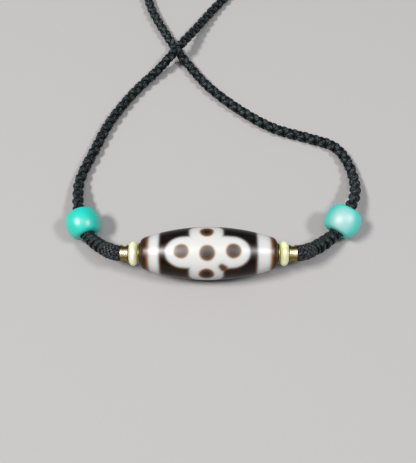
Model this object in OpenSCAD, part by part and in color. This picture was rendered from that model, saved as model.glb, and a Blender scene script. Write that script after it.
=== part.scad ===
// Dzi bead necklace: a patterned agate bead between brass washers, pale glass discs and gold spools,
// with a turquoise drum bead on each side, on a black braided cord that closes in one loop.
// It lies on a flat surface, as it does when it is put down.

/* [Dzi bead] */
// Length of the dzi bead along its bore
dzi_length = 40; // [32:0.5:50]
// Diameter of the dzi bead at its middle
dzi_d = 15.5; // [12:0.1:18]
// Diameter that the long curve of the dzi bead reaches at its ends, before they are rounded
dzi_end_d = 8.5; // [7.5:0.1:10]
// Radius of the rounding at the ends of the dzi bead
dzi_end_r = 2.2; // [1:0.1:2.4]

/* [Washers, discs and spacers] */
// Diameter of the thin brass washer at each end of the dzi bead
washer_d = 6.1; // [4.5:0.1:8]
// Thickness of the washer
washer_t = 0.3; // [0.2:0.1:0.8]
// Diameter of the pale glass disc bead
disc_d = 7.3; // [5:0.1:10]
// Thickness of the disc bead
disc_t = 2.8; // [1.5:0.1:4]
// Diameter of the small flat face round each end of the disc bead's bore
disc_face_d = 3.4; // [2.8:0.1:4.4]
// Diameter of the rims of the gold spacer
spacer_d = 5; // [4:0.1:7]
// Diameter of the waist of the gold spacer
spacer_waist_d = 4.2; // [3.2:0.1:4.7]
// Length of the gold spacer along its bore
spacer_length = 2.2; // [1.5:0.1:4]
// Width of each rim of the gold spacer
spacer_rim = 0.4; // [0.2:0.1:0.7]

/* [Turquoise beads] */
// Largest diameter of the left turquoise drum bead
left_bead_d = 10.3; // [9.5:0.1:12]
// Largest diameter of the right turquoise drum bead
right_bead_d = 10.8; // [9.5:0.1:12]
// Length of a turquoise drum bead
turquoise_length = 8.1; // [7:0.1:10]
// How much narrower the side curve of a turquoise bead is at its ends, before they are rounded
turquoise_taper = 2.8; // [1.8:0.1:3.2]
// Radius of the rounding between the side and the end of a turquoise bead
turquoise_end_r = 1.6; // [0.8:0.1:1.6]
// Bore of a turquoise bead, wide enough for the braid
turquoise_bore = 4.8; // [4.4:0.1:5]
// Width of the chamfer at each mouth of that bore
turquoise_chamfer = 0.3; // [0.1:0.1:0.4]
// How far the left turquoise bead lies beyond the end of the string of small beads
left_bead_out = 12.6; // [9:0.1:16]
// How far the left turquoise bead lies behind the string of small beads
left_bead_back = 11.7; // [9:0.1:15]
// Direction of the left turquoise bead's bore on the surface, from the +X axis
left_bead_turn = 112; // [100:0.5:140]
// Tilt of the left turquoise bead, with the end away from the dzi bead up
left_bead_tilt = 9; // [0:1:14]
// How far the right turquoise bead lies beyond the end of the string of small beads
right_bead_out = 15.3; // [12:0.1:19]
// How far the right turquoise bead lies behind the string of small beads
right_bead_back = 12.3; // [9:0.1:15]
// Direction of the right turquoise bead's bore on the surface, from the +X axis
right_bead_turn = 57.5; // [40:0.5:80]
// Tilt of the right turquoise bead, with the end away from the dzi bead up
right_bead_tilt = 19; // [8:1:24]

/* [Thread and cord] */
// Diameter of the thread through the dzi bead and the small beads
thread_d = 2; // [1:0.1:2.4]
// Play round the thread in each bore
thread_play = 0.1; // [0.05:0.05:0.3]
// Gap between neighbouring pieces on the thread
piece_gap = 0.1; // [0.05:0.05:0.3]
// Diameter of the black braided cord
cord_d = 3.8; // [3:0.1:4]
// Diameter of the fine whipping next to each gold spacer
whipping_d = 4.8; // [4:0.1:5.5]
// Length of the whipping along the cord
whipping_length = 4.9; // [3:0.1:6]
// Diameter of the knotted stretch between the whipping and the turquoise bead
knot_d = 4.3; // [4.1:0.1:4.6]
// Number of ribs on a knotted stretch
knot_ribs = 4; // [3:1:6]
// Depth of the grooves between those ribs
knot_groove = 0.25; // [0.1:0.05:0.4]
// Diameter of the whipped sleeve that joins the two ends of the braid
sleeve_d = 5; // [4.4:0.1:6]

/* [Hidden] */

// Facets of a full circle on turned pieces
$fn = 96;
// Sides of the braided cord and of the whipped and knotted stretches
cord_sides = 8;
lead_sides = 12;
// Rings between two points of the cord's route
rings_per_step = 2;

// Places along the string, measured from the middle of the dzi bead
washer_at = dzi_length / 2 + piece_gap + washer_t / 2;
disc_at = washer_at + washer_t / 2 + piece_gap + disc_t / 2;
spacer_at = disc_at + disc_t / 2 + piece_gap + spacer_length / 2;
string_end = spacer_at + spacer_length / 2;
lead_start = string_end + piece_gap;

// Unit vector of a direction on the surface and a tilt above it
function heading(turn, tilt) = [cos(tilt) * cos(turn), cos(tilt) * sin(turn), sin(tilt)];
left_axis = heading(left_bead_turn, left_bead_tilt);
right_axis = heading(right_bead_turn, right_bead_tilt);

// Outline [radius, along] of a turned bead whose side is one long arc and whose ends are rounded
function barrel_outline(length, d, end_d, round_r, steps) =
    let (
        half = length / 2,
        bulge = (d - end_d) / 2,
        side_r = (half * half + bulge * bulge) / (2 * bulge),
        side_centre = d / 2 - side_r,
        round_at = half - round_r,
        round_centre = side_centre + sqrt(pow(side_r - round_r, 2) - round_at * round_at),
        side_turn = asin(round_at / (side_r - round_r)),
        upper = concat(
            [for (k = [0:steps]) let (a = side_turn * k / steps)
                [side_centre + side_r * cos(a), side_r * sin(a)]],
            [for (k = [1:steps / 2]) let (a = side_turn + (90 - side_turn) * k / (steps / 2))
                [round_centre + round_r * cos(a), round_at + round_r * sin(a)]]
        )
    )
    concat(
        [for (k = [len(upper) - 1:-1:1]) [upper[k][0], -upper[k][1]]],
        upper
    );

dzi_outline = barrel_outline(dzi_length, dzi_d, dzi_end_d, dzi_end_r, 16);
function turquoise_outline(d) =
    barrel_outline(turquoise_length, d, d - turquoise_taper, turquoise_end_r, 10);

// How far a turquoise bead with this diameter and axis reaches from its centre towards a direction
function reach(d, axis, towards) =
    let (along = axis * towards, across = sqrt(1 - along * along))
    max([for (p = turquoise_outline(d)) p[1] * along + p[0] * across]);

// The beads' bounding box is centred over the origin, and the beads lie on the surface
beads_left = left_bead_out + reach(left_bead_d, left_axis, [-1, 0, 0]);
beads_right = right_bead_out + reach(right_bead_d, right_axis, [1, 0, 0]);
string_x = (beads_left - beads_right) / 2;
beads_back = max(
    left_bead_back + reach(left_bead_d, left_axis, [0, 1, 0]),
    right_bead_back + reach(right_bead_d, right_axis, [0, 1, 0])
);
string_y = (dzi_d / 2 - beads_back) / 2;
string_z = dzi_d / 2;
left_bead = [
    string_x - string_end - left_bead_out,
    string_y + left_bead_back,
    reach(left_bead_d, left_axis, [0, 0, -1])
];
right_bead = [
    string_x + string_end + right_bead_out,
    string_y + right_bead_back,
    reach(right_bead_d, right_axis, [0, 0, -1])
];

// Mouths of the turquoise beads' bores, near and away from the dzi bead
left_near = left_bead - left_axis * turquoise_length / 2;
left_far = left_bead + left_axis * turquoise_length / 2;
right_near = right_bead - right_axis * turquoise_length / 2;
right_far = right_bead + right_axis * turquoise_length / 2;

// Heading with which the cord enters each bead: halfway between the straight way there and the bore
function unit(v) = v / norm(v);
left_start = [string_x - lead_start, string_y, string_z];
right_start = [string_x + lead_start, string_y, string_z];
left_entry = unit(left_axis + unit(left_near - left_start));
right_entry = unit(right_axis + unit(right_near - right_start));

// Route of the braid's centre line: [x, y, height]
route_left = [
    [-42.7, 17, 4], [-43.1, 25.5, 2.1], [-39.8, 37, 1.9], [-35.2, 50, 1.9], [-28, 63, 1.9],
    [-20, 72.8, 2.9], [-12.1, 81.9, 6], [-6.1, 94.1, 3.5], [2, 108.8, 1.9]
];
route_back_right = [
    [11.2, 122, 1.9], [21.5, 136, 1.9], [32, 150, 1.9], [39.5, 165.5, 1.9], [42.2, 182.5, 1.9],
    [37.5, 199.5, 1.9], [25, 213.5, 1.9], [7, 221.5, 2.5]
];
route_back_left = [
    [-7.5, 222.8, 2.5], [-25, 217.8, 1.9], [-38, 205.5, 1.9], [-43.2, 189, 1.9], [-42.8, 171.5, 1.9],
    [-39, 154.5, 1.9], [-33.5, 137.5, 1.9], [-27.8, 121, 1.9]
];
route_right = [
    [-23.2, 105, 1.9], [-15.9, 89, 1.9], [-8.2, 75.4, 1.9], [-0.6, 64.7, 1.9], [9.2, 55.1, 1.9],
    [20.6, 46.8, 1.9], [32.9, 42.3, 1.9], [40.4, 38.9, 1.9], [44.1, 33, 1.9], [45.5, 25.5, 2.5],
    [44.4, 17.6, 5.2]
];
route = concat(
    [left_near, left_far], route_left, route_back_right,
    route_back_left, route_right, [right_far, right_near]
);

// Places in the route where one length of cord ends and the next begins
seen_left_end = 2 + len(route_left) - 1;
sleeve_start = seen_left_end + len(route_back_right);
sleeve_end = sleeve_start + 1;
seen_right_start = sleeve_end + len(route_back_left);
route_end = len(route) - 1;

// A smooth curve through the route's points: place and direction at point i, part t on to the next.
// The point past each end of the route gives the curve its heading into the bead there.
function route_point(i) =
    i < 0 ? left_far - left_entry * turquoise_length
    : i > route_end ? right_far - right_entry * turquoise_length
    : route[i];
function on_surface(p) = [p[0], p[1], max(p[2], cord_d / 2)];
function curve_place(i, t) =
    let (a = route_point(i - 1), b = route_point(i), c = route_point(i + 1), d = route_point(i + 2))
    on_surface(
        (2 * b + (c - a) * t + (2 * a - 5 * b + 4 * c - d) * t * t + (3 * b - a - 3 * c + d) * t * t * t) / 2
    );
function curve_heading(i, t) =
    let (a = route_point(i - 1), b = route_point(i), c = route_point(i + 1), d = route_point(i + 2))
    unit((c - a) + 2 * (2 * a - 5 * b + 4 * c - d) * t + 3 * (3 * b - a - 3 * c + d) * t * t);

// The lead from the string's end to a turquoise bead's near mouth, as one curve with two handles,
// each a share of the straight way between its ends
start_handle = 0.22;
finish_handle = 0.26;
function lead_corners(side) =
    let (
        start = side < 0 ? left_start : right_start,
        finish = side < 0 ? left_near : right_near,
        entry = side < 0 ? left_entry : right_entry,
        way = norm(finish - start)
    )
    [start, start + [side * start_handle * way, 0, 0], finish - entry * finish_handle * way, finish];
function lead_place(p, t) =
    pow(1 - t, 3) * p[0] + 3 * pow(1 - t, 2) * t * p[1] + 3 * (1 - t) * t * t * p[2] + t * t * t * p[3];
function lead_heading(p, t) =
    unit(pow(1 - t, 2) * (p[1] - p[0]) + 2 * (1 - t) * t * (p[2] - p[1]) + t * t * (p[3] - p[2]));
// Length of the lead up to part t, and the part t at which the whipping has its own length
lead_chords = 12;
function lead_length(p, t) =
    let (chords = [for (k = [1:lead_chords])
        norm(lead_place(p, t * k / lead_chords) - lead_place(p, t * (k - 1) / lead_chords))])
    chords * [for (c = chords) 1];
function lead_whipped(p) =
    let (
        first = whipping_length / norm(p[3] - p[0]),
        second = first * whipping_length / lead_length(p, first)
    )
    second * whipping_length / lead_length(p, second);

// One ring of points square to a heading
function ring(centre, toward, r, sides) =
    let (across = unit(cross(toward, [0, 0, 1])), above = cross(across, toward))
    [for (k = [0:sides - 1]) let (a = 360 * k / sides) centre + r * (cos(a) * across + sin(a) * above)];

// A closed tube through a list of rings with the same number of points
module tube(rings) {
    sides = len(rings[0]);
    last = len(rings) - 1;
    polyhedron(
        points = [for (one = rings) each one],
        faces = concat(
            [[for (k = [0:sides - 1]) k]],
            [for (i = [0:last - 1]) for (k = [0:sides - 1]) let (
                a = i * sides + k,
                b = i * sides + (k + 1) % sides
            ) each [[a, a + sides, b + sides], [a, b + sides, b]]],
            [[for (k = [sides - 1:-1:0]) last * sides + k]]
        ),
        convexity = 8
    );
}

// A length of the cord between two points of the route
module cord_length(first, last) {
    steps = (last - first) * rings_per_step;
    color([0.04, 0.05, 0.055]) tube([for (k = [0:steps]) let (
        i = first + floor(k / rings_per_step),
        t = (k % rings_per_step) / rings_per_step
    ) ring(curve_place(i, t), curve_heading(i, t), cord_d / 2, cord_sides)]);
}

// A piece along the string, standing up along Z until it is laid along X
module on_string(along) {
    translate([string_x + along, string_y, string_z]) rotate([0, 90, 0]) children();
}

// A bored round piece on the thread, turned from an outline of [radius, along]
module turned(outline, bore_d) {
    length = 2 * max([for (p = outline) p[1]]);
    difference() {
        rotate_extrude() polygon(concat(
            [[0, outline[0][1]]], outline, [[0, outline[len(outline) - 1][1]]]
        ));
        cylinder(d = bore_d, h = length + 2, center = true);
    }
}

thread_bore = thread_d + 2 * thread_play;

module dzi_bead() {
    color([0.13, 0.08, 0.06]) on_string(0) turned(dzi_outline, thread_bore);
}

module thread() {
    color([0.05, 0.05, 0.06]) on_string(0) cylinder(d = thread_d, h = 2 * lead_start, center = true);
}

module washer(side) {
    color([0.72, 0.58, 0.22]) on_string(side * washer_at)
        turned([[washer_d / 2, -washer_t / 2], [washer_d / 2, washer_t / 2]], thread_bore);
}

// Pale disc bead: rounded from a small flat face at one end of its bore to the other
module disc_bead(side) {
    face_r = disc_face_d / 2;
    outline = [for (a = [-90:10:90]) [face_r + (disc_d / 2 - face_r) * cos(a), disc_t / 2 * sin(a)]];
    color([0.88, 0.9, 0.62]) on_string(side * disc_at) turned(outline, thread_bore);
}

// Gold spacer: two rims with a hollow waist between them
module gold_spacer(side) {
    waist_half = spacer_length / 2 - spacer_rim;
    depth = (spacer_d - spacer_waist_d) / 2;
    waist = [for (a = [-90:15:90]) [spacer_d / 2 - depth * cos(a), waist_half * sin(a)]];
    color([0.83, 0.67, 0.28]) on_string(side * spacer_at) turned(concat(
        [[spacer_d / 2, -spacer_length / 2]], waist, [[spacer_d / 2, spacer_length / 2]]
    ), thread_bore);
}

// Fine whipping: a plain round stretch that starts flat against the gold spacer
whipping_rings = 6;
module whipping(side) {
    p = lead_corners(side);
    step = lead_whipped(p) / whipping_rings;
    color([0.05, 0.055, 0.065]) tube([for (k = [0:whipping_rings])
        ring(lead_place(p, step * k), lead_heading(p, step * k), whipping_d / 2, lead_sides)]);
}

// Knotted stretch: ribs round the cord, ending at the turquoise bead's mouth
rings_per_rib = 3;
module knot(side) {
    p = lead_corners(side);
    start = lead_whipped(p);
    count = knot_ribs * rings_per_rib;
    color([0.06, 0.07, 0.07]) tube([for (k = [0:count]) let (
        t = start + (1 - start) * k / count,
        r = k == count ? cord_d / 2 : knot_d / 2 - (k % rings_per_rib == 0 ? knot_groove : 0)
    ) ring(lead_place(p, t), lead_heading(p, t), r, lead_sides)]);
}

module turquoise_bead(side) {
    centre = side < 0 ? left_bead : right_bead;
    turn = side < 0 ? left_bead_turn : right_bead_turn;
    tilt = side < 0 ? left_bead_tilt : right_bead_tilt;
    d = side < 0 ? left_bead_d : right_bead_d;
    mouth_r = turquoise_bore / 2;
    color([0.25, 0.85, 0.76]) translate(centre) rotate([0, 90 - tilt, turn]) difference() {
        turned(turquoise_outline(d), turquoise_bore);
        for (end = [-1, 1]) scale([1, 1, end]) translate([0, 0, turquoise_length / 2 - turquoise_chamfer])
            cylinder(r1 = mouth_r, r2 = mouth_r + 2 * turquoise_chamfer, h = 2 * turquoise_chamfer);
    }
}

// Whipped sleeve over the joint of the braid, the plain closure of the loop
sleeve_rings = 4;
module joining_sleeve() {
    color([0.05, 0.055, 0.065]) tube([for (k = [0:sleeve_rings]) let (t = k / sleeve_rings)
        ring(curve_place(sleeve_start, t), curve_heading(sleeve_start, t), sleeve_d / 2, lead_sides)]);
}

dzi_bead();
thread();
washer(-1);  // washer_left
washer(1);  // washer_right
disc_bead(-1);  // disc_bead_left
disc_bead(1);  // disc_bead_right
gold_spacer(-1);  // gold_spacer_left
gold_spacer(1);  // gold_spacer_right
whipping(-1);  // whipping_left
whipping(1);  // whipping_right
knot(-1);  // knot_left
knot(1);  // knot_right
turquoise_bead(-1);  // turquoise_bead_left
turquoise_bead(1);  // turquoise_bead_right
cord_length(0, seen_left_end);  // cord_left
cord_length(seen_right_start, route_end);  // cord_right
cord_length(sleeve_end, seen_right_start);  // cord_back_left
cord_length(seen_left_end, sleeve_start);  // cord_back_right
joining_sleeve();
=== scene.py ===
from math import atan2, cos, hypot, pi, radians, sin, sqrt

import bmesh
import bpy
from bpy.props import FloatProperty, FloatVectorProperty, IntProperty, PointerProperty
from mathutils import Matrix, Vector


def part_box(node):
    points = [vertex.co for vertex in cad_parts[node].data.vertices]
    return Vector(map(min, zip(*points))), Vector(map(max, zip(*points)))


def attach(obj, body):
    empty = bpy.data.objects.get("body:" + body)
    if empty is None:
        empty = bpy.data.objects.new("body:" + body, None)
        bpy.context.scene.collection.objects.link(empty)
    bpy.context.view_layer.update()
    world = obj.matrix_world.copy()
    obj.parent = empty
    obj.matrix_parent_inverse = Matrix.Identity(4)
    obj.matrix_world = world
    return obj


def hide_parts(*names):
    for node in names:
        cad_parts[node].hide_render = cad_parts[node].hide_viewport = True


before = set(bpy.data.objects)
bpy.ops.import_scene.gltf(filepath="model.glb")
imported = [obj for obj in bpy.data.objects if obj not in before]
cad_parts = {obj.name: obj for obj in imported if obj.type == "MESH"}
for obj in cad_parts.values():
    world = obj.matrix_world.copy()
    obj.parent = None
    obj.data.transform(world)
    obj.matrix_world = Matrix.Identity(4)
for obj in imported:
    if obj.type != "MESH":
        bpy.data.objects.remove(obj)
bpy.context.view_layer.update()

bl_info = {
    "name": "Dzi bead necklace",
    "version": (1, 0, 0),
    "blender": (4, 5, 0),
    "location": "3D View > Sidebar > Necklace",
    "description": "Builds the beads, the braided cord and the stage of a dzi bead necklace",
    "category": "Add Mesh",
}

MM = 0.001
BODY = "root"
SIDES = {"left": -1, "right": 1}


def middle(node):
    """Middle of a node's box."""
    low, high = (Vector(corner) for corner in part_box(node))
    return (low + high) / 2


def heading(turn, tilt):
    """Unit vector of a direction on the surface and a tilt above it, in degrees."""
    turn, tilt = radians(turn), radians(tilt)
    return Vector((cos(tilt) * cos(turn), cos(tilt) * sin(turn), sin(tilt)))


# Places that the pieces share
STRING = middle("dzi_bead")
LEAD_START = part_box("thread")[1][0] - STRING.x
TURQUOISE_LENGTH = 8.1 * MM
TURQUOISE_DIAMETER = {"left": 10.3 * MM, "right": 10.8 * MM}
TURQUOISE_AXIS = {"left": heading(112, 9), "right": heading(57.5, 19)}
WHIPPING_LENGTH = 4.9 * MM

# Handles of the curve into a turquoise bead, as shares of the way, and steps on the curves
START_HANDLE = 0.22
FINISH_HANDLE = 0.26
LEAD_STEPS = 60
FINE_LEAD_STEPS = 200
ROUTE_STEPS = 12

CORD_DIAMETER = 3.8 * MM

# Route of the braid's centre line in millimetres, between the far mouths of the turquoise beads
ROUTE_LEFT = [
    (-42.7, 17, 4), (-43.1, 25.5, 2.1), (-39.8, 37, 1.9), (-35.2, 50, 1.9), (-28, 63, 1.9),
    (-20, 72.8, 2.9), (-12.1, 81.9, 6), (-6.1, 94.1, 3.5), (2, 108.8, 1.9),
]
ROUTE_BACK_RIGHT = [
    (11.2, 122, 1.9), (21.5, 136, 1.9), (32, 150, 1.9), (39.5, 165.5, 1.9), (42.2, 182.5, 1.9),
    (37.5, 199.5, 1.9), (25, 213.5, 1.9), (7, 221.5, 2.5),
]
ROUTE_BACK_LEFT = [
    (-7.5, 222.8, 2.5), (-25, 217.8, 1.9), (-38, 205.5, 1.9), (-43.2, 189, 1.9), (-42.8, 171.5, 1.9),
    (-39, 154.5, 1.9), (-33.5, 137.5, 1.9), (-27.8, 121, 1.9),
]
ROUTE_RIGHT = [
    (-23.2, 105, 1.9), (-15.9, 89, 1.9), (-8.2, 75.4, 1.9), (-0.6, 64.7, 1.9), (9.2, 55.1, 1.9),
    (20.6, 46.8, 1.9), (32.9, 42.3, 1.9), (40.4, 38.9, 1.9), (44.1, 33, 1.9), (45.5, 25.5, 2.5),
    (44.4, 17.6, 5.2),
]
CORD_NODES = ("cord_left", "cord_right", "cord_back_left", "cord_back_right")


def measure(name, description, default, low, high):
    """A property for a length, with its values in millimetres."""
    return FloatProperty(name=name, description=description, default=default * MM,
                         min=low * MM, max=high * MM, unit="LENGTH", precision=5)


def shade(name, description, default):
    """A property for a colour."""
    return FloatVectorProperty(name=name, description=description, default=default,
                               min=0, max=1, subtype="COLOR")


class NecklaceSizes(bpy.types.PropertyGroup):
    """Sizes and colours of the dressed necklace."""

    braid_pitch: measure(
        "Braid pitch", "Length in which a strand goes once round the braid", 7.4, 4, 12)
    strand_width: measure(
        "Strand width", "Width of one strand of the braid across its fibres", 1.9, 1, 2.2)
    strand_thickness: measure(
        "Strand thickness", "Thickness of one strand, out from the braid's middle", 1.28, 0.6, 1.5)
    whipping_diameter: measure(
        "Whipping diameter", "Outer diameter of the fine weave beside the spacers", 4.8, 4, 5.5)
    sleeve_diameter: measure(
        "Sleeve diameter", "Outer diameter of the winding over the cord's joint", 5, 4.4, 6)
    dzi_end_diameter: measure(
        "Dzi end", "Diameter that the dzi bead's curve reaches at its ends", 8.5, 7, 10)
    turned_steps: IntProperty(
        name="Steps round a bead", description="Faces round each turned bead",
        default=128, min=32, max=256)
    cord_color: shade("Cord", "Colour of the black braid", (0.002, 0.003, 0.0033))
    turquoise_color: shade("Turquoise", "Colour of the left drum bead", (0.001, 0.57, 0.46))
    # The right bead's colour is painted paler than the left's, for the glare on it
    painted_glare_turquoise_color: shade("Pale turquoise", "Colour of the right drum bead", (0.03, 0.6, 0.5))
    disc_color: shade("Disc", "Colour of the pale glass discs", (0.52, 0.56, 0.27))
    gold_color: shade("Gold", "Colour of the gold spacers", (0.92, 0.81, 0.52))
    floor_color: shade("Floor", "Colour of the plain floor", (0.38, 0.373, 0.366))


def sizes():
    return bpy.context.scene.necklace_sizes


# Lines through space


def evenly(points, step):
    """The same line with points a step apart, and its length."""
    runs = [(b - a).length for a, b in zip(points, points[1:])]
    total = sum(runs)
    count = max(2, round(total / step))
    even = [points[0]]
    start, index = 0.0, 0
    for k in range(1, count):
        wanted = total * k / count
        while start + runs[index] < wanted:
            start += runs[index]
            index += 1
        even.append(points[index].lerp(points[index + 1], (wanted - start) / runs[index]))
    return even + [points[-1]], total


def through(ends, steps):
    """A smooth curve through all but the first and last point that never sinks below the surface."""
    curve = []
    for a, b, c, d in zip(ends, ends[1:], ends[2:], ends[3:]):
        for t in (k / steps for k in range(steps)):
            place = (2 * b + (c - a) * t + (2 * a - 5 * b + 4 * c - d) * t * t
                     + (3 * b - a - 3 * c + d) * t * t * t) / 2
            place.z = max(place.z, CORD_DIAMETER / 2)
            curve.append(place)
    return curve + [ends[-2]]


def mouths(side):
    """Near and far mouth of a turquoise bead's bore."""
    centre = middle(f"turquoise_bead_{side}")
    half = TURQUOISE_AXIS[side] * TURQUOISE_LENGTH / 2
    return centre - half, centre + half


def string_end(side):
    return STRING + Vector((SIDES[side] * LEAD_START, 0, 0))


def entry(side):
    """Heading into a bead: halfway between the straight way there and its bore."""
    straight = (mouths(side)[0] - string_end(side)).normalized()
    return (TURQUOISE_AXIS[side] + straight).normalized()


def lead(side, steps=LEAD_STEPS):
    """The curve from the string's end to a turquoise bead's near mouth."""
    start = string_end(side)
    finish = mouths(side)[0]
    way = (finish - start).length
    out = start + Vector((SIDES[side] * START_HANDLE * way, 0, 0))
    back = finish - entry(side) * FINISH_HANDLE * way
    curve = []
    for t in (k / steps for k in range(steps + 1)):
        s = 1 - t
        curve.append(s ** 3 * start + 3 * s * s * t * out + 3 * s * t * t * back + t ** 3 * finish)
    return curve


def cord_line():
    """The whole cord, from the left end of the string of small beads round to the right end."""
    left_near, left_far = mouths("left")
    right_near, right_far = mouths("right")
    rows = ROUTE_LEFT + ROUTE_BACK_RIGHT + ROUTE_BACK_LEFT + ROUTE_RIGHT
    route = [left_near, left_far, *(Vector(p) * MM for p in rows), right_far, right_near]
    before = left_far - entry("left") * TURQUOISE_LENGTH
    after = right_far - entry("right") * TURQUOISE_LENGTH
    round_trip = through([before, *route, after], ROUTE_STEPS)
    return lead("left")[:-1] + round_trip + lead("right")[-2::-1]


def framed(points):
    """Each point of a line with its heading and two directions across it that don't twist."""
    rows = []
    across = Vector((0, 0, 1))
    for k, point in enumerate(points):
        ahead = (points[min(k + 1, len(points) - 1)] - points[max(k - 1, 0)]).normalized()
        across = (across - ahead * across.dot(ahead)).normalized()
        rows.append((point, ahead, across, ahead.cross(across)))
    return rows


# Strands, ribs and turned shapes

# Uneven tension of the strands: its share of their radius, its change along and between them
LOOSE_SHARE = 0.03
LOOSE_ALONG = 0.21
LOOSE_BETWEEN = 2.1
# Edges of a turned bead that are sharper than this are eased
SHARP_ANGLE = radians(35)


def linked(name, data):
    """A new object of a mesh, a lamp or a camera, in the scene."""
    piece = bpy.data.objects.new(name, data)
    bpy.context.collection.objects.link(piece)
    return piece


class StrandMesh:
    """Strands with an oval section, gathered into one mesh with a UV map along their fibres."""

    def __init__(self):
        self.corners, self.faces, self.uvs = [], [], []

    def add(self, centres, outs, width, thickness, sides):
        """One strand: u goes round it from its hidden side, v goes along it in millimetres."""
        base = len(self.corners)
        ring = [(-cos(2 * pi * k / sides) * thickness / 2, sin(2 * pi * k / sides) * width / 2)
                for k in range(sides)]
        last = len(centres) - 1
        along = [0.0]
        for k, (centre, out) in enumerate(zip(centres, outs)):
            ahead = (centres[min(k + 1, last)] - centres[max(k - 1, 0)]).normalized()
            out = (out - ahead * out.dot(ahead)).normalized()
            flat = ahead.cross(out)
            self.corners += [centre + out * high + flat * wide for high, wide in ring]
            if k:
                along.append(along[-1] + (centre - centres[k - 1]).length / MM)
        for k in range(last):
            for n in range(sides):
                a, b = base + k * sides + n, base + k * sides + (n + 1) % sides
                self.faces.append((a, b, b + sides, a + sides))
                self.uvs += [(n / sides, along[k]), ((n + 1) / sides, along[k]),
                             ((n + 1) / sides, along[k + 1]), (n / sides, along[k + 1])]
        for k, order in ((0, -1), (last, 1)):
            cap = [base + k * sides + n for n in range(sides)][::order]
            self.faces.append(tuple(cap))
            self.uvs += [(0.5, along[k])] * sides

    def piece(self, name, material):
        mesh = bpy.data.meshes.new(name)
        mesh.from_pydata(self.corners, [], self.faces)
        layer = mesh.uv_layers.new(name="fibres")
        layer.uv.foreach_set("vector", [value for uv in self.uvs for value in uv])
        mesh.polygons.foreach_set("use_smooth", [True] * len(mesh.polygons))
        mesh.materials.append(material)
        return linked(name, mesh)


def braid(strands, rows, step, each_way, pitch, middle_r, lift, width, thickness, sides):
    """Strands that go round a line both ways, over and under each other in turn."""
    for way in (1, -1):
        for start in range(each_way):
            centres, outs = [], []
            for k, (point, _, across, above) in enumerate(rows):
                turn = 2 * pi * k * step / pitch
                angle = way * turn + 2 * pi * start / each_way
                out = cos(angle) * across + sin(angle) * above
                loose = 1 + LOOSE_SHARE * sin(LOOSE_ALONG * k + LOOSE_BETWEEN * start + way)
                centres.append(point + out * (middle_r + way * lift * cos(each_way * turn)) * loose)
                outs.append(out)
            strands.add(centres, outs, width, thickness, sides)


def wind(strands, rows, step, pitch, radius, thickness, sides):
    """One strand wound round a line, turn beside turn."""
    turns = [2 * pi * k * step / pitch for k in range(len(rows))]
    outs = [cos(turn) * across + sin(turn) * above
            for turn, (_, _, across, above) in zip(turns, rows)]
    centres = [row[0] + out * radius for row, out in zip(rows, outs)]
    strands.add(centres, outs, thickness, thickness, sides)


def onto(centre, axis):
    """The matrix that lays a shape built round the Z axis onto another axis."""
    return Matrix.Translation(centre) @ axis.to_track_quat("Z", "Y").to_matrix().to_4x4()


def finished(shape, name, material):
    """A finished object from a bmesh, with smooth faces that point outwards."""
    bmesh.ops.recalc_face_normals(shape, faces=shape.faces)
    for face in shape.faces:
        face.smooth = True
    mesh = bpy.data.meshes.new(name)
    shape.to_mesh(mesh)
    shape.free()
    mesh.materials.append(material)
    return linked(name, mesh)


def turned(name, outline, bore, centre, axis, material, steps, bevel=0.0):
    """A bored bead spun from an outline of (radius, along), with its sharp edges eased."""
    shape = bmesh.new()
    profile = [(bore / 2, outline[0][1]), *outline, (bore / 2, outline[-1][1])]
    points = [shape.verts.new((radius, 0, along)) for radius, along in profile]
    edges = [shape.edges.new((a, b)) for a, b in zip(points, points[1:] + points[:1])]
    bmesh.ops.spin(shape, geom=points + edges, cent=(0, 0, 0), axis=(0, 0, 1), dvec=(0, 0, 0),
                   angle=2 * pi, steps=steps, use_merge=True, use_duplicate=False)
    bmesh.ops.recalc_face_normals(shape, faces=shape.faces)
    if bevel:
        sharp = [e for e in shape.edges if e.calc_face_angle(0) > SHARP_ANGLE]
        bmesh.ops.bevel(shape, geom=sharp, offset=bevel, offset_type="OFFSET", affect="EDGES",
                        segments=3, profile=0.5, material=-1)
    bmesh.ops.transform(shape, matrix=onto(centre, axis), verts=shape.verts)
    return finished(shape, name, material)


def arc(centre, radius, first, last, steps):
    """Points of (radius, along) on an arc between two angles in degrees."""
    angles = [radians(first + (last - first) * k / steps) for k in range(steps + 1)]
    return [(centre[0] + radius * cos(a), centre[1] + radius * sin(a)) for a in angles]


def barrel(length, diameter, end_diameter, round_r, steps):
    """Outline of a bead whose side is one long arc and whose ends are rounded."""
    half, bulge = length / 2, (diameter - end_diameter) / 2
    side_r = (half * half + bulge * bulge) / (2 * bulge)
    side_centre = diameter / 2 - side_r
    round_at = half - round_r
    round_centre = side_centre + sqrt((side_r - round_r) ** 2 - round_at ** 2)
    turn = atan2(round_at, round_centre - side_centre) * 180 / pi
    side = arc((side_centre, 0), side_r, 0, turn, steps)
    end = arc((round_centre, round_at), round_r, turn, 90, steps // 2)
    upper = side + end[1:]
    return [(r, -z) for r, z in upper[:0:-1]] + upper


# Materials

# Sockets of the node groups that carry a colour; the others carry a number
COLOR_SOCKETS = ("Colour", "Tip colour")


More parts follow.
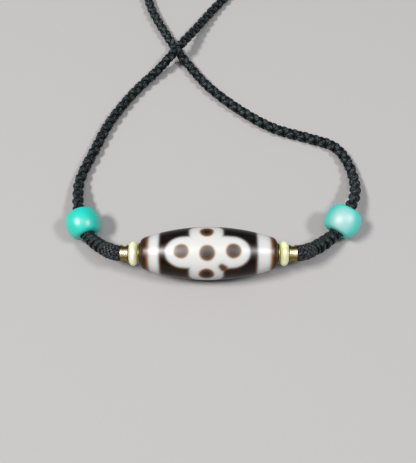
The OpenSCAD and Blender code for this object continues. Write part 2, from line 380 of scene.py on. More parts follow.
class Wiring:
    """Adds nodes to a tree; a value is a number, a colour or another node's socket."""

    # Places of a Mix node's colour sockets, which share their names with its other sockets
    MIX_FIRST = 6
    MIX_SECOND = 7
    MIX_RESULT = 2

    def __init__(self, tree):
        self.tree = tree

    def node(self, kind, inputs=None, **settings):
        node = self.tree.nodes.new(kind)
        for name, value in settings.items():
            setattr(node, name, value)
        for name, value in (inputs or {}).items():
            self.feed(node.inputs[name], value)
        return node

    def feed(self, socket, value):
        """Links another socket, or sets a value; a colour of three numbers is made opaque."""
        if isinstance(value, bpy.types.NodeSocket):
            self.tree.links.new(value, socket)
        elif socket.type == "RGBA":
            socket.default_value = (*value, 1)
        else:
            socket.default_value = value

    def fill(self, sockets, **values):
        """Feeds sockets by their names, which have _ for a space."""
        for name, value in values.items():
            self.feed(sockets[name.replace("_", " ")], value)

    def math(self, operation, *values, clamp=False):
        inputs = dict(enumerate(values))
        return self.node("ShaderNodeMath", inputs, operation=operation, use_clamp=clamp).outputs[0]

    def times(self, first, second):
        return self.math("MULTIPLY", first, second)

    def times_plus(self, first, second, third, clamp=False):
        return self.math("MULTIPLY_ADD", first, second, third, clamp=clamp)

    def minus(self, first, second):
        return self.math("SUBTRACT", first, second)

    def off(self, value, centre):
        """How far a value is from a centre, on either side."""
        return self.math("ABSOLUTE", self.minus(value, centre))

    def past(self, value, limit):
        """How far a value is past a limit, or 0."""
        return self.math("MAXIMUM", self.minus(value, limit), 0.0)

    def span(self, across, around):
        """Length of a step across and round the surface."""
        return self.math("SQRT", self.times_plus(across, across, self.times(around, around)))

    def smooth(self, value, start, full):
        """A soft step from 0 at the start to 1 at the full value, up or down."""
        node = self.node("ShaderNodeMapRange", {"Value": value, "From Min": start, "From Max": full},
                         interpolation_type="SMOOTHSTEP")
        return node.outputs["Result"]

    def mix(self, factor, first, second):
        node = self.node("ShaderNodeMix", data_type="RGBA")
        self.feed(node.inputs["Factor"], factor)
        self.feed(node.inputs[self.MIX_FIRST], first)
        self.feed(node.inputs[self.MIX_SECOND], second)
        return node.outputs[self.MIX_RESULT]

    def ramp(self, value, stops):
        """Colours at given values, blended between them."""
        low, high = stops[0][0], stops[-1][0]
        scaled = self.node("ShaderNodeMapRange", {"Value": value, "From Min": low, "From Max": high})
        node = self.node("ShaderNodeValToRGB", {"Fac": scaled.outputs["Result"]})
        marks = node.color_ramp.elements
        while len(marks) < len(stops):
            marks.new(0.5)
        for mark, (place, color) in zip(marks, stops):
            mark.position = (place - low) / (high - low)
            mark.color = (*color, 1)
        return node.outputs["Color"]

    def noise(self, vector, scale, detail=2.0, rough=0.5):
        inputs = {"Vector": vector, "Scale": scale, "Detail": detail, "Roughness": rough}
        return self.node("ShaderNodeTexNoise", inputs).outputs

    def bump(self, height, strength, distance):
        inputs = {"Height": height, "Strength": strength, "Distance": distance}
        return self.node("ShaderNodeBump", inputs).outputs["Normal"]

    def place(self):
        """Place on the object."""
        return self.node("ShaderNodeTexCoord").outputs["Object"]

    def squeezed(self, vector, scale):
        return self.node("ShaderNodeMapping", {"Vector": vector, "Scale": scale}).outputs["Vector"]

    def axes(self, vector):
        return self.node("ShaderNodeSeparateXYZ", {0: vector}).outputs

    def group(self, tree, **inputs):
        node = self.node("ShaderNodeGroup", node_tree=tree)
        self.fill(node.inputs, **inputs)
        return node.outputs


def new_group(name, inputs, outputs):
    """An empty node group with named sockets; returns it with its wiring and both its ends."""
    tree = bpy.data.node_groups.new(name, "ShaderNodeTree")
    for way, labels in (("INPUT", inputs), ("OUTPUT", outputs)):
        for label in labels:
            kind = "NodeSocketColor" if label in COLOR_SOCKETS else "NodeSocketFloat"
            tree.interface.new_socket(label, in_out=way, socket_type=kind)
    wires = Wiring(tree)
    return tree, wires, wires.node("NodeGroupInput").outputs, wires.node("NodeGroupOutput").inputs


def new_material(name, **shader):
    """A material with a Principled shader, whose constant sockets are set here."""
    material = bpy.data.materials.new(name)
    material.use_nodes = True
    material.node_tree.nodes.clear()
    wires = Wiring(material.node_tree)
    principled = wires.node("ShaderNodeBsdfPrincipled")
    wires.fill(principled.inputs, **shader)
    wires.node("ShaderNodeOutputMaterial", {"Surface": principled.outputs["BSDF"]})
    return material, wires, principled.inputs


# Fibres of a strand: a pair of values is where a mask starts and where it is full
YARNS_ROUND_A_STRAND = 9
YARN_DEPTH = 0.16
STREAKS_PER_MM = 1.5
# Where the painted highlight in the tip colour shows: fibre height, and nearness to the strand's outer
# crest
SHINING_HEIGHT = (0.48, 0.76)
SHINING_CREST = (0.2, 0.03)
FIBRE_ROUGHNESS = 0.28
STREAK_ROUGHNESS = 0.25


def fibre_group():
    """Fine fibres that run along a strand, from its UV map: streaks across u, drawn out along v."""
    if "Fibres" in bpy.data.node_groups:
        return bpy.data.node_groups["Fibres"]
    tree, wires, given, result = new_group(
        "Fibres", ("Count", "Twist", "Colour", "Tip colour"), ("Colour", "Height", "Roughness"))
    uv = wires.axes(wires.node("ShaderNodeUVMap").outputs["UV"])
    round_it = wires.times_plus(uv["Y"], given["Twist"], uv["X"])
    across = wires.times(round_it, given["Count"])
    along = wires.times(uv["Y"], STREAKS_PER_MM)
    place = wires.node("ShaderNodeCombineXYZ", {"X": across, "Y": along}).outputs["Vector"]
    streaks = wires.noise(place, scale=1.0, detail=3.0, rough=0.6)["Fac"]
    yarns = wires.math("SINE", wires.times(round_it, 2 * pi * YARNS_ROUND_A_STRAND))
    height = wires.times_plus(yarns, YARN_DEPTH, streaks)
    # Painted highlight: the tip colour on the high fibres along each strand's outer crest
    on_crest = wires.smooth(wires.off(uv["X"], 0.5), *SHINING_CREST)
    shine = wires.times(wires.smooth(height, *SHINING_HEIGHT), on_crest)
    wires.fill(result, Colour=wires.mix(shine, given["Colour"], given["Tip colour"]), Height=height,
               Roughness=wires.times_plus(streaks, STREAK_ROUGHNESS, FIBRE_ROUGHNESS))
    return tree


# Scratches of a handled thing: longer and finer than its clouds, and rougher than its polish
SCRATCH_SQUEEZE = (1, 9, 3)
SCRATCH_FINENESS = 4.0
SCRATCH_MASK = (0.6, 0.75)
SCRATCH_ROUGHNESS = 0.5
SCRATCH_DEPTH = -0.15


def handled_group():
    """The uneven gloss of a polished thing that is worn and handled, with fine scratches."""
    if "Handled polish" in bpy.data.node_groups:
        return bpy.data.node_groups["Handled polish"]
    tree, wires, given, result = new_group(
        "Handled polish", ("Scale", "Gloss", "Spread"), ("Roughness", "Height", "Mottling"))
    place = wires.place()
    clouds = wires.noise(place, given["Scale"], detail=4.0, rough=0.55)["Fac"]
    finer = wires.times(given["Scale"], SCRATCH_FINENESS)
    fine = wires.noise(wires.squeezed(place, SCRATCH_SQUEEZE), finer)["Fac"]
    scratches = wires.smooth(fine, *SCRATCH_MASK)
    rough = wires.times_plus(clouds, given["Spread"], given["Gloss"])
    rougher = wires.times(given["Spread"], SCRATCH_ROUGHNESS)
    wires.fill(result, Roughness=wires.times_plus(scratches, rougher, rough),
               Height=wires.times_plus(scratches, SCRATCH_DEPTH, clouds), Mottling=clouds)
    return tree


def black_fibre(name, color, tip, count, twist, depth):
    """Black yarn: dark fibres with a faint sheen, and a painted blue-green highlight on their tips."""
    material, wires, shader = new_material(
        name, Sheen_Weight=0.03, Sheen_Roughness=0.4, Sheen_Tint=(0.55, 0.85, 0.88),
        Specular_IOR_Level=0.12)
    fibres = wires.group(fibre_group(), Count=count, Twist=twist, Colour=color, Tip_colour=tip)
    wires.fill(shader, Base_Color=fibres["Colour"], Roughness=fibres["Roughness"],
               Normal=wires.bump(fibres["Height"], strength=0.7, distance=depth))
    return material


# Clouds over which a polished thing turns darker, and the height of its wear
MOTTLING = (0.35, 0.7)
WEAR_STRENGTH = 0.12
WEAR_DEPTH = 0.05 * MM


def polished(name, color, dark, gloss, spread, scale, over=None, **shader):
    """A polished stone, glass or metal with faint mottling and handling marks.

    The function given as over adds to its colour.
    """
    material, wires, sockets = new_material(name, **shader)
    polish = wires.group(handled_group(), Scale=scale, Gloss=gloss, Spread=spread)
    mottled = wires.mix(wires.smooth(polish["Mottling"], *MOTTLING), color, dark)
    if over:
        mottled = over(wires, mottled)
    wires.fill(sockets, Base_Color=mottled, Roughness=polish["Roughness"],
               Normal=wires.bump(polish["Height"], WEAR_STRENGTH, WEAR_DEPTH))
    return material


# The dzi bead's pattern, in millimetres along the bead and round it from the side that faces up
PATTERN_TILT = radians(30)
PATTERN_RADIUS = 7.6
WOBBLE = 0.2
FIELD_FROM = -7.45
FIELD_TO = 6.85
FIELD_ROUND = 0.72
FIELD_RADIUS = 4.72
ARM_AT = -0.7
ARM_HALF = 4.65
ARM_ROUND = 0.45
ARM_REACH = 10.75
ARM_CORNER = 3.2
BANDS = [
    # along, half width
    (-15.68, 1.34), (15.8, 1.76),
]
EYES = [
    # along, round, radius
    (-7.75, 0.95, 2.15), (-0.42, 0.42, 2.25), (7.0, 1.05, 2.2),
    (-0.55, 7.35, 2.05), (-0.65, -6.35, 2.25),
]
# A brown bite out of the white field's lower right corner, from its tip to the dark ground
NOTCH = [
    # along, round, radius
    (3.68, -3.58, 0.98), (3.98, -3.9, 1.06), (4.3, -4.24, 1.18),
]

# Its colours
DARK = (0.003, 0.0028, 0.0026)
DARK_BROWN = (0.014, 0.007, 0.004)
END_BROWN = (0.026, 0.0125, 0.007)
FRINGE = (0.15, 0.07, 0.025)
ORANGE_FRINGE = (0.26, 0.115, 0.035)
AGATE_LINE = (0.25, 0.2, 0.16)
# Painted glare: a grey haze over the eyes of the middle row
PAINTED_EYE_GLARE = (0.3, 0.28, 0.265)
WHITE_BY_DEPTH = [
    # millimetres inside the field, colour
    (0.0, (0.49, 0.53, 0.525)), (0.5, (0.49, 0.53, 0.525)), (1.2, (0.56, 0.56, 0.53)),
]
EYE_BY_DISTANCE = [
    # millimetres outside the eye, colour
    (-2.1, (0.014, 0.0095, 0.006)), (-1.3, (0.022, 0.0135, 0.008)), (-0.75, (0.075, 0.036, 0.015)),
    (-0.25, (0.15, 0.085, 0.04)), (0.1, (0.27, 0.18, 0.1)),
]

# Its masks: where each starts and where it is full, in millimetres
LOWER_SIDE = (1.0, -9.0)
BROWN_ENDS = (15.6, 17.6)
ARM_ENDS = (8.4, 9.6)
OUTER_EDGES = (16.0, 16.6)
NOTCH_EDGE = (0.2, -0.6)
FIELD_EDGE = (-0.65, 0.5)
EYE_EDGE = (0.5, -0.42)
LEFTWARD = (8.0, -9.0)
MIDDLE_ROW = (4.5, 2.5)
CREST = (3.4, 0.8)

# Its strengths, and the middle of the crest, where the polish is brightest
BROWN_CLOUDS = (0.45, 0.75)
LOWER_BROWN = 0.55
AGATE_LINES = 9.0
AGATE_LINE_SHARE = 0.09
FRINGE_REACH = -1.1
OUTER_REACH = -0.15
FRINGE_FULL = -0.05
FRINGE_SHARE = 0.4
LOWER_FRINGE = 0.55
NOTCH_SHARE = 0.5
# Share of the painted glare over the eyes
PAINTED_EYE_GLARE_SHARE = 0.12
CREST_AT = 0.95
CREST_GLOSS = 0.75


def placed(wires, centre):
    """Place from a bead's middle in millimetres, with Y up and Z out of the photograph."""
    inputs = {"Vector": wires.place(), "Location": centre, "Rotation": (PATTERN_TILT, 0, 0),
              "Scale": (MM, MM, MM)}
    return wires.node("ShaderNodeMapping", inputs, vector_type="TEXTURE").outputs["Vector"]


def spot_group():
    """How far outside a round spot a place lies."""
    tree, wires, given, result = new_group(
        "Round spot", ("Along", "Round", "Spot along", "Spot round", "Radius"), ("Distance",))
    across = wires.minus(given["Along"], given["Spot along"])
    around = wires.minus(given["Round"], given["Spot round"])
    wires.feed(result["Distance"], wires.minus(wires.span(across, around), given["Radius"]))
    return tree


def dzi_material():
    """Dark agate with the etched white field, its eyes and the bands, under a clear gloss."""
    material, wires, shader = new_material(
        "dzi_agate", IOR=1.54, Specular_IOR_Level=0.12, Coat_Roughness=0.42, Coat_IOR=1.7)
    laid = placed(wires, STRING)
    axes = wires.axes(laid)
    shift = wires.axes(wires.noise(laid, scale=0.35, detail=3.0)["Color"])
    along = wires.math("ADD", axes["X"], wires.times_plus(shift["X"], WOBBLE, -WOBBLE / 2))
    angle = wires.math("ARCTAN2", axes["Y"], axes["Z"])
    plain_round = wires.times(angle, PATTERN_RADIUS)
    around = wires.math("ADD", plain_round, wires.times_plus(shift["Y"], WOBBLE, -WOBBLE / 2))
    spot = spot_group()

    def nearest(spots):
        """How far outside the nearest of some spots a place lies."""
        best = None
        for spot_along, spot_round, radius in spots:
            away = wires.group(spot, Along=along, Round=around, Spot_along=spot_along,
                               Spot_round=spot_round, Radius=radius)["Distance"]
            best = away if best is None else wires.math("MINIMUM", best, away)
        return best

    # Depth inside the white field: a long round-ended bar and a rounded arm across it
    on_bar = wires.math("MINIMUM", wires.math("MAXIMUM", along, FIELD_FROM), FIELD_TO)
    bar_far = wires.span(wires.minus(along, on_bar), wires.minus(around, FIELD_ROUND))
    arm_along = wires.off(along, ARM_AT)
    arm_round = wires.off(around, ARM_ROUND)
    arm_far = wires.span(wires.past(arm_along, ARM_HALF - ARM_CORNER),
                         wires.past(arm_round, ARM_REACH - ARM_CORNER))
    field = wires.math("MAXIMUM", wires.minus(FIELD_RADIUS, bar_far), wires.minus(ARM_CORNER, arm_far))
    notch = nearest(NOTCH)
    field = wires.math("MINIMUM", field, notch)
    for centre, half in BANDS:
        field = wires.math("MAXIMUM", field, wires.minus(half, wires.off(along, centre)))

    # The agate ground: nearly black, browner on the underside and at the ends
    clouds = wires.noise(laid, scale=0.22, detail=4.0, rough=0.6)["Fac"]
    low = wires.smooth(plain_round, *LOWER_SIDE)
    browner = wires.times_plus(low, LOWER_BROWN, wires.smooth(clouds, *BROWN_CLOUDS), clamp=True)
    ground = wires.mix(browner, DARK, DARK_BROWN)
    out = wires.math("ABSOLUTE", axes["X"])
    ground = wires.mix(wires.smooth(out, *BROWN_ENDS), ground, END_BROWN)

    # The white, with faint agate lines near the ends of the arm
    lines = wires.math("SINE", wires.times(arm_round, AGATE_LINES))
    faint = wires.times(wires.times_plus(lines, AGATE_LINE_SHARE, AGATE_LINE_SHARE),
                        wires.smooth(arm_round, *ARM_ENDS))
    white = wires.mix(faint, wires.ramp(field, WHITE_BY_DEPTH), AGATE_LINE)

    # A thin brown fringe, which is wider and orange on the bands' outer edges
    outer = wires.smooth(out, *OUTER_EDGES)
    reach = wires.times_plus(outer, OUTER_REACH, FRINGE_REACH)
    whole = wires.minus(FRINGE_FULL, reach)
    fringe = wires.math("DIVIDE", wires.minus(field, reach), whole, clamp=True)
    strength = wires.math("MAXIMUM", outer, wires.times_plus(low, LOWER_FRINGE, FRINGE_SHARE))
    fringe_color = wires.mix(outer, FRINGE, ORANGE_FRINGE)
    ground = wires.mix(wires.times(fringe, strength), ground, fringe_color)
    in_notch = wires.times(wires.smooth(notch, *NOTCH_EDGE), NOTCH_SHARE)
    ground = wires.mix(in_notch, ground, FRINGE)
    color = wires.mix(wires.smooth(field, *FIELD_EDGE), ground, white)

    # The eyes, with a painted glare: a grey haze that grows to the left
    eye_away = nearest(EYES)
    leftward = wires.smooth(along, *LEFTWARD)
    painted_glare = wires.times(wires.times(leftward, leftward), PAINTED_EYE_GLARE_SHARE)
    in_row = wires.smooth(wires.math("ABSOLUTE", around), *MIDDLE_ROW)
    eye = wires.mix(wires.times(painted_glare, in_row), wires.ramp(eye_away, EYE_BY_DISTANCE), PAINTED_EYE_GLARE)
    color = wires.mix(wires.smooth(eye_away, *EYE_EDGE), color, eye)

    polish = wires.group(handled_group(), Scale=500.0, Gloss=0.28, Spread=0.06)
    on_crest = wires.smooth(wires.off(plain_round, CREST_AT), *CREST)
    wires.fill(shader, Base_Color=color, Roughness=polish["Roughness"],
               Coat_Weight=wires.times(on_crest, CREST_GLOSS),
               Normal=wires.bump(polish["Height"], strength=0.06, distance=0.04 * MM))
    return material


# Painted reflections, highlights and glare over the small beads, and where their masks start and are
# full, in millimetres
# Painted dark reflections on the gold spools, above and below
PAINTED_REFLECTION_ABOVE = (0.16, 0.1, 0.02)
PAINTED_REFLECTION_BELOW = (0.27, 0.18, 0.03)
PAINTED_REFLECTION_TOP = (0.9, 1.6)
PAINTED_REFLECTION_FOOT = (-0.45, -1.2)
# Painted highlight along the discs' crests, and painted light on their upper and lower edges
PAINTED_HIGHLIGHT_WHITE = (0.7, 0.68, 0.7)
PAINTED_LIT_RIM = (0.76, 0.82, 0.46)
DISC_AT = (middle("disc_bead_right").x - STRING.x) / MM
DISC_HIGHLIGHT_CREST = (1.0, 0.35)
DISC_HALFWAY = (3.0, 1.2)
PAINTED_HIGHLIGHT_LEFTWARD = (35.0, -18.0)
# Painted glare that whitens the right turquoise bead's face
PAINTED_FACE_GLARE = (0.3, 0.52, 0.5)
PAINTED_FACE_GLARE_SHARE = 0.85
FACE_GLARE_RISE = (3.3, 5.4)
FACE_GLARE_LEAN_X = -0.25
FACE_GLARE_LEAN_Y = 0.1


def painted_dark_reflections(wires, color):
    """Painted dark reflections on the upper and lower side of the gold spools, darker above."""
    up = wires.axes(placed(wires, STRING))["Y"]
    lower = wires.mix(wires.smooth(up, *PAINTED_REFLECTION_FOOT), color, PAINTED_REFLECTION_BELOW)
    return wires.mix(wires.smooth(up, *PAINTED_REFLECTION_TOP), lower, PAINTED_REFLECTION_ABOVE)


def painted_highlight_crest(wires, color):
    """Painted light on the discs: a white highlight along the crest, stronger on the left one, between
    bright yellow edges painted lighter against the shade that falls on them.
    """
    place = wires.axes(placed(wires, STRING))
    off = wires.off(wires.math("ABSOLUTE", place["X"]), DISC_AT)
    painted_highlight = wires.times(wires.smooth(off, *DISC_HIGHLIGHT_CREST), wires.smooth(place["X"], *PAINTED_HIGHLIGHT_LEFTWARD))
    halfway = wires.smooth(wires.math("ABSOLUTE", place["Y"]), *DISC_HALFWAY)
    lit = wires.mix(halfway, PAINTED_LIT_RIM, color)
    return wires.mix(wires.times(painted_highlight, halfway), lit, PAINTED_HIGHLIGHT_WHITE)


def painted_face_glare(wires, color):
    """Painted glare on the right turquoise bead: its face whitened, with a saturated rim round it."""
    place = wires.axes(placed(wires, middle("turquoise_bead_right")))
    out = wires.times_plus(place["X"], FACE_GLARE_LEAN_X, place["Z"])
    out = wires.times_plus(place["Y"], FACE_GLARE_LEAN_Y, out)
    return wires.mix(wires.times(wires.smooth(out, *FACE_GLARE_RISE), PAINTED_FACE_GLARE_SHARE), color, PAINTED_FACE_GLARE)


# Operators


def keep(piece, node):
    """Rides a piece on the necklace's body in place of its CAD solid."""
    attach(piece, BODY)
    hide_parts(*([node] if isinstance(node, str) else node))


class NECKLACE_OT_stage(bpy.types.Operator):
    """Floor, soft studio lights and the camera at the photograph's angle"""

    bl_idname = "necklace.stage"
    bl_label = "Stage"

    # Frame of the photograph in pixels, and its focal length in the same pixels
    PHOTO_WIDTH = 416
    FOCAL = 600
    ELEVATION = 60
    CAMERA_FROM_BEAD = Vector((-0.2, -81.9, 154.65)) * MM
    FLOOR = 6.0
    GRAIN_SCALE = 900.0
    GRAIN_SHADE = 0.985
    SKY_COLOR = (0.86, 0.9, 1.0, 1)
    SKY_STRENGTH = 0.2
    LIGHT_FAR = 1.5
    # Name, direction from the beads, width, height, watts, colour
    LIGHTS = [
        ("soft_left", (-0.54, -0.18, 0.82), 0.44, 0.22, 22.0, (1.0, 0.96, 0.96)),
        ("soft_right", (0.57, -0.17, 0.8), 0.36, 0.22, 12.0, (0.98, 0.97, 1.0)),
        ("soft_top", (0.03, -0.17, 0.98), 0.48, 0.48, 3.6, (1.0, 0.99, 0.98)),
    ]

    def execute(self, context):
        self.floor(sizes().floor_color)
        for row in self.LIGHTS:
            self.light(*row)
        self.camera(context.scene)
        world = bpy.data.worlds.new("studio")
        world.use_nodes = True
        background = world.node_tree.nodes["Background"]
        background.inputs["Color"].default_value = self.SKY_COLOR
        background.inputs["Strength"].default_value = self.SKY_STRENGTH
        context.scene.world = world
        context.scene.view_settings.view_transform = "Standard"
        return {"FINISHED"}

    def floor(self, color):
        shape = bmesh.new()
        bmesh.ops.create_grid(shape, x_segments=2, y_segments=2, size=self.FLOOR / 2)
        material, wires, shader = new_material("plain_floor", Specular_IOR_Level=0.2)
        grain = wires.noise(wires.place(), self.GRAIN_SCALE, detail=3.0)["Fac"]
        darker = [channel * self.GRAIN_SHADE for channel in color]
        wires.fill(shader, Base_Color=wires.mix(grain, color, darker),
                   Roughness=wires.times_plus(grain, 0.1, 0.8))
        finished(shape, "floor", material)

    def light(self, name, direction, width, height, watts, color):
        lamp = bpy.data.lights.new(name, "AREA")
        lamp.shape = "RECTANGLE"
        lamp.size, lamp.size_y = width, height
        lamp.energy, lamp.color = watts, color
        piece = linked(name, lamp)
        towards = Vector(direction).normalized()
        piece.location = towards * self.LIGHT_FAR
        piece.rotation_euler = towards.to_track_quat("Z", "Y").to_euler()

    def camera(self, scene):
        camera = bpy.data.cameras.new("camera")
        camera.sensor_fit = "HORIZONTAL"
        camera.lens = camera.sensor_width * self.FOCAL / self.PHOTO_WIDTH
        camera.clip_start = 0.005
        piece = linked("camera", camera)
        piece.location = STRING + self.CAMERA_FROM_BEAD
        piece.rotation_euler = (radians(90 - self.ELEVATION), 0, 0)
        scene.camera = piece


class NECKLACE_OT_whippings(bpy.types.Operator):
    """Fine tubular weave over the cord's ends, next to the gold spacers"""

    bl_idname = "necklace.whippings"
    bl_label = "Whippings"

    THREADS_EACH_WAY = 8
    PITCH = 9 * MM
    THREAD_WIDTH = 0.95 * MM
    THREAD_THICKNESS = 0.5 * MM
    LIFT = 0.13 * MM
    STEP = 0.14 * MM
    THREAD_SIDES = 6

    def execute(self, context):
        material = black_fibre("black_thread", (0.002, 0.0027, 0.0045), (0.14, 0.16, 0.17),
                               count=5.0, twist=0.0, depth=0.05 * MM)
        for side in SIDES:
            line, _ = evenly(lead(side, FINE_LEAD_STEPS), self.STEP)
            rows = framed(line)[:round(WHIPPING_LENGTH / self.STEP) + 1]
            strands = StrandMesh()
            middle_r = sizes().whipping_diameter / 2 - self.THREAD_THICKNESS / 2 - self.LIFT
            braid(strands, rows, self.STEP, self.THREADS_EACH_WAY, self.PITCH, middle_r, self.LIFT,
                  self.THREAD_WIDTH, self.THREAD_THICKNESS, self.THREAD_SIDES)
            keep(strands.piece(f"whipping_weave_{side}", material), f"whipping_{side}")
        return {"FINISHED"}


class NECKLACE_OT_knots(bpy.types.Operator):
    """Oblique ribs of the wrapped knots between the whippings and the turquoise beads"""

    bl_idname = "necklace.knots"
    bl_label = "Knots"

    # For each rib: place as a share of the knot, width, thickness, outer diameter, slant in degrees
    RIBS = {
        "left": [
            (0.1, 2.0, 1.3, 4.5, 18), (0.32, 2.1, 1.35, 4.5, 20), (0.54, 2.1, 1.3, 4.4, 20),
            (0.76, 2.0, 1.2, 4.2, 16), (0.95, 1.6, 1.1, 4.0, 8),
        ],
        "right": [
            (0.02, 1.1, 1.0, 4.3, -12), (0.12, 1.1, 1.0, 4.4, -14), (0.28, 2.6, 1.4, 4.6, -18),
            (0.51, 2.5, 1.3, 4.5, -18), (0.73, 2.2, 1.2, 4.3, -12), (0.96, 2.0, 1.2, 4.15, -5),
        ],
    }
    STEP = 0.1 * MM
    STEPS_ROUND = 48
    SECTION_SIDES = 14

    def execute(self, context):
        material = black_fibre("black_knot_cord", sizes().cord_color, (0.09, 0.12, 0.12),
                               count=7.0, twist=0.35, depth=0.09 * MM)
        for side, ribs in self.RIBS.items():
            line, total = evenly(lead(side, FINE_LEAD_STEPS), self.STEP)
            rows = framed(line)
            shape = bmesh.new()
            layer = shape.loops.layers.uv.new("fibres")
            for share, width, thickness, diameter, slant in ribs:
                at = WHIPPING_LENGTH + share * (total - WHIPPING_LENGTH)
                point, ahead, _, _ = rows[round(at / total * (len(rows) - 1))]
                self.rib(shape, layer, point, ahead, width * MM, thickness * MM, diameter * MM, slant)
            keep(finished(shape, f"knot_ribs_{side}", material), f"knot_{side}")
        return {"FINISHED"}

    def rib(self, shape, layer, point, ahead, width, thickness, diameter, slant):
        """A flat-sided ring round the cord, leaning over to one side."""
        ring_r = (diameter - thickness) / 2
        made = bmesh.ops.create_circle(shape, segments=self.SECTION_SIDES, radius=1.0)["verts"]
        edges = {edge for vert in made for edge in vert.link_edges}
        for vert in made:
            x, y = vert.co.x, vert.co.y
            vert.co = (ring_r + x * thickness / 2, 0, y * width / 2)
        kept = set(shape.faces)
        bmesh.ops.spin(shape, geom=[*made, *edges], cent=(0, 0, 0), axis=(0, 0, 1), dvec=(0, 0, 0),
                       angle=2 * pi, steps=self.STEPS_ROUND, use_merge=True, use_duplicate=False)
        faces = [face for face in shape.faces if face not in kept]
        for face in faces:
            turns = [atan2(loop.vert.co.y, loop.vert.co.x) / (2 * pi) for loop in face.loops]
            wraps = max(turns) - min(turns) > 0.5
            for loop, turn in zip(face.loops, turns):
                co = loop.vert.co
                section = atan2(co.z / width, (hypot(co.x, co.y) - ring_r) / thickness) / (2 * pi)
                along = (turn + 1 if wraps and turn < 0 else turn) * 2 * pi * ring_r / MM
                loop[layer].uv = (section + 0.5, along)
        verts = list({vert for face in faces for vert in face.verts})
        lean = Matrix.Rotation(radians(slant), 4, "Y")
        upright = ahead.cross(Vector((0, 0, 1))).normalized()
        turn = Matrix((upright, ahead.cross(upright), ahead)).transposed().to_4x4()
        bmesh.ops.transform(shape, matrix=Matrix.Translation(point) @ turn @ lean, verts=verts)


class NECKLACE_OT_sleeve(bpy.types.Operator):
    """Winding of thin cord over the joint of the braid's two ends"""

    bl_idname = "necklace.sleeve"
    bl_label = "Joining sleeve"

    THREAD = 0.72 * MM
    THREAD_SIDES = 7
    PITCH = THREAD * 0.97
    STEP = 0.045 * MM
    LINE_STEPS = 40

    def execute(self, context):
        material = black_fibre("black_winding", (0.002, 0.0027, 0.003), (0.035, 0.045, 0.05),
                               count=8.0, twist=0.5, depth=0.05 * MM)
        ends = [Vector(ROUTE_BACK_RIGHT[-1]) * MM, Vector(ROUTE_BACK_LEFT[0]) * MM]
        before, after = Vector(ROUTE_BACK_RIGHT[-2]) * MM, Vector(ROUTE_BACK_LEFT[1]) * MM
        line, _ = evenly(through([before, *ends, after], self.LINE_STEPS), self.STEP)
        strands = StrandMesh()
        radius = (sizes().sleeve_diameter - self.THREAD) / 2
        wind(strands, framed(line), self.STEP, self.PITCH, radius, self.THREAD, self.THREAD_SIDES)
        keep(strands.piece("sleeve_winding", material), "joining_sleeve")
        return {"FINISHED"}


class NECKLACE_OT_braided_cord(bpy.types.Operator):
    """Round braid of black strands along the whole route, laid on the surface"""

    bl_idname = "necklace.braided_cord"
    bl_label = "Braided cord"

    STRANDS_EACH_WAY = 2
    RING_STEP = 0.37 * MM
    STRAND_SIDES = 12
    LIFT = CORD_DIAMETER * 0.135
    LENGTH = 0.583

    def execute(self, context):
        given = sizes()
        line, _ = evenly(cord_line(), self.RING_STEP)
        middle_r = CORD_DIAMETER / 2 - given.strand_thickness / 2 - self.LIFT
        strands = StrandMesh()
        braid(strands, framed(line), self.RING_STEP, self.STRANDS_EACH_WAY, given.braid_pitch,
              middle_r, self.LIFT, given.strand_width, given.strand_thickness, self.STRAND_SIDES)
        material = black_fibre("black_braid", given.cord_color, (0.095, 0.135, 0.142),
                               count=9.0, twist=0.25, depth=0.09 * MM)
        piece = strands.piece("braided_cord", material)
        keep(piece, CORD_NODES)
        return {"FINISHED"}


class NECKLACE_OT_dzi_bead(bpy.types.Operator):
    """The long agate bead with its white field, eyes and bands"""

    bl_idname = "necklace.dzi_bead"
    bl_label = "Dzi bead"

    END_ROUND = 2.2 * MM
    BORE = 2.2 * MM
    OUTLINE_STEPS = 28

    def execute(self, context):
        low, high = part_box("dzi_bead")
        outline = barrel(high[0] - low[0], high[2] - low[2], sizes().dzi_end_diameter,
                         self.END_ROUND, self.OUTLINE_STEPS)
        piece = turned("dzi_stone", outline, self.BORE, STRING, Vector((1, 0, 0)), dzi_material(),
                       sizes().turned_steps, bevel=0.15 * MM)
        keep(piece, "dzi_bead")
        return {"FINISHED"}


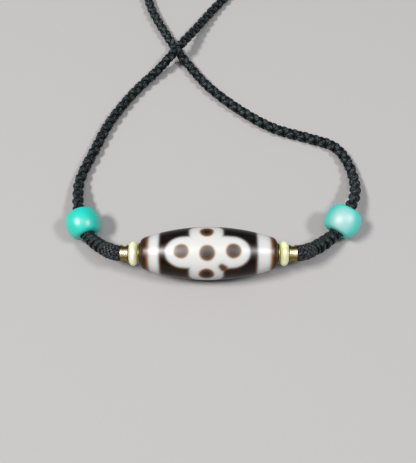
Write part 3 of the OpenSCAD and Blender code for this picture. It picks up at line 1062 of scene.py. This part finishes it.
class NECKLACE_OT_small_beads(bpy.types.Operator):
    """Brass washers, pale discs and gold spacers on both sides of the dzi bead"""

    bl_idname = "necklace.small_beads"
    bl_label = "Small beads"

    BORE = 2.2 * MM
    DISC_FACE = 3.4 * MM
    WAIST = 4.2 * MM
    RIM = 0.4 * MM
    DISC_STEPS = 24
    WAIST_STEPS = 16
    STEPS_ROUND = 72

    def execute(self, context):
        given = sizes()
        brass = polished("worn_brass", (0.6, 0.5, 0.15), (0.36, 0.28, 0.08),
                         gloss=0.3, spread=0.25, scale=900.0, Metallic=1.0)
        # The gold carries painted dark reflections above and below
        gold = polished("polished_gold", given.gold_color, (0.84, 0.71, 0.4),
                        gloss=0.32, spread=0.12, scale=900.0, over=painted_dark_reflections, Metallic=1.0)
        # The discs carry a painted highlight and painted lit edges
        glass = polished("pale_glass", given.disc_color, (0.6, 0.62, 0.4),
                         gloss=0.26, spread=0.12, scale=400.0, over=painted_highlight_crest, IOR=1.52,
                         Subsurface_Weight=0.9, Subsurface_Radius=(1.0, 0.9, 0.4),
                         Subsurface_Scale=2.5 * MM, Coat_Weight=0.2, Coat_Roughness=0.2)
        for side in SIDES:
            self.make(f"washer_{side}", "brass_washer", "brass", brass, self.washer, 0.1 * MM)
            self.make(f"disc_bead_{side}", "glass_disc", "pale_glass", glass, self.disc, 0.08 * MM)
            self.make(f"gold_spacer_{side}", "gold_spool", "gold", gold, self.spool, 0.09 * MM)
        return {"FINISHED"}

    def make(self, node, name, slot, material, outline, bevel):
        low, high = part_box(node)
        piece = turned(f"{name}_{node.rsplit('_', 1)[1]}", outline(high[0] - low[0], high[2] - low[2]),
                       self.BORE, middle(node), Vector((1, 0, 0)), material, self.STEPS_ROUND, bevel)
        keep(piece, node)

    def washer(self, thick, diameter):
        return [(diameter / 2, -thick / 2), (diameter / 2, thick / 2)]

    def disc(self, thick, diameter):
        face_r = self.DISC_FACE / 2
        rows = arc((0, 0), 1.0, -90, 90, self.DISC_STEPS)
        return [(face_r + (diameter / 2 - face_r) * out, thick / 2 * along) for out, along in rows]

    def spool(self, thick, diameter):
        depth = (diameter - self.WAIST) / 2
        rows = arc((0, 0), 1.0, -90, 90, self.WAIST_STEPS)
        waist = [(diameter / 2 - depth * out, (thick / 2 - self.RIM) * along) for out, along in rows]
        return [(diameter / 2, -thick / 2), *waist, (diameter / 2, thick / 2)]


class NECKLACE_OT_turquoise_beads(bpy.types.Operator):
    """Turquoise drum beads that the cord passes through"""

    bl_idname = "necklace.turquoise_beads"
    bl_label = "Turquoise beads"

    TAPER = 2.8 * MM
    END_ROUND = 1.6 * MM
    BORE = 4.4 * MM
    OUTLINE_STEPS = 18
    MOTTLED_SHADE = 0.9

    def execute(self, context):
        finishes = {
            # colour, gloss, shine, bloom, painted glare that adds to the colour
            "left": (sizes().turquoise_color, 0.35, 0.7, 0.0, None),
            "right": (sizes().painted_glare_turquoise_color, 0.42, 0.5, 0.3, painted_face_glare),
        }
        for side, (color, gloss, shine, bloom, over) in finishes.items():
            node = f"turquoise_bead_{side}"
            darker = [channel * self.MOTTLED_SHADE for channel in color]
            material = polished(f"turquoise_{side}", color, darker, gloss, spread=0.08, scale=260.0,
                                over=over, IOR=1.7, Specular_IOR_Level=shine,
                                Specular_Tint=(1.0, 0.55, 0.55),
                                Coat_Weight=bloom, Coat_Roughness=0.55, Coat_IOR=2.4,
                                Subsurface_Weight=0.2, Subsurface_Radius=(0.3, 1.0, 0.9),
                                Subsurface_Scale=1.0 * MM)
            diameter = TURQUOISE_DIAMETER[side]
            outline = barrel(TURQUOISE_LENGTH, diameter, diameter - self.TAPER, self.END_ROUND,
                             self.OUTLINE_STEPS)
            piece = turned(f"turquoise_drum_{side}", outline, self.BORE, middle(node),
                           TURQUOISE_AXIS[side], material, sizes().turned_steps, bevel=0.28 * MM)
            keep(piece, node)
        return {"FINISHED"}


class NECKLACE_OT_thread(bpy.types.Operator):
    """Finish of the thread that shows between the small beads"""

    bl_idname = "necklace.thread"
    bl_label = "Thread"

    def execute(self, context):
        material, wires, shader = new_material("bore_thread", Sheen_Weight=0.2)
        drawn = wires.squeezed(wires.place(), (1, 6, 6))
        strands = wires.noise(drawn, scale=900.0, detail=3.0)["Fac"]
        wires.fill(shader, Base_Color=wires.mix(strands, (0.006, 0.008, 0.01), (0.02, 0.024, 0.028)),
                   Roughness=wires.times_plus(strands, 0.3, 0.4),
                   Normal=wires.bump(strands, strength=0.5, distance=0.05 * MM))
        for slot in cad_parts["thread"].material_slots:
            slot.material = material
        return {"FINISHED"}


class NECKLACE_PT_panel(bpy.types.Panel):
    """Lists the necklace's pieces and sizes in the sidebar"""

    bl_label = "Dzi bead necklace"
    bl_idname = "NECKLACE_PT_panel"
    bl_space_type = "VIEW_3D"
    bl_region_type = "UI"
    bl_category = "Necklace"

    def draw(self, context):
        for step in STEPS:
            self.layout.operator(step.bl_idname)
        for name in NecklaceSizes.__annotations__:
            self.layout.prop(context.scene.necklace_sizes, name)


# The steps in the order in which they run
STEPS = (
    NECKLACE_OT_stage, NECKLACE_OT_whippings, NECKLACE_OT_knots, NECKLACE_OT_sleeve,
    NECKLACE_OT_braided_cord, NECKLACE_OT_dzi_bead, NECKLACE_OT_small_beads,
    NECKLACE_OT_turquoise_beads, NECKLACE_OT_thread,
)
CLASSES = (NecklaceSizes, *STEPS, NECKLACE_PT_panel)


def register():
    for one in CLASSES:
        bpy.utils.register_class(one)
    bpy.types.Scene.necklace_sizes = PointerProperty(type=NecklaceSizes)


def unregister():
    del bpy.types.Scene.necklace_sizes
    for one in reversed(CLASSES):
        bpy.utils.unregister_class(one)


def main():
    register()
    bpy.ops.necklace.stage()
    bpy.ops.necklace.whippings()
    bpy.ops.necklace.knots()
    bpy.ops.necklace.sleeve()
    bpy.ops.necklace.braided_cord()
    bpy.ops.necklace.dzi_bead()
    bpy.ops.necklace.small_beads()
    bpy.ops.necklace.turquoise_beads()
    bpy.ops.necklace.thread()


if __name__ == "__main__":
    main()
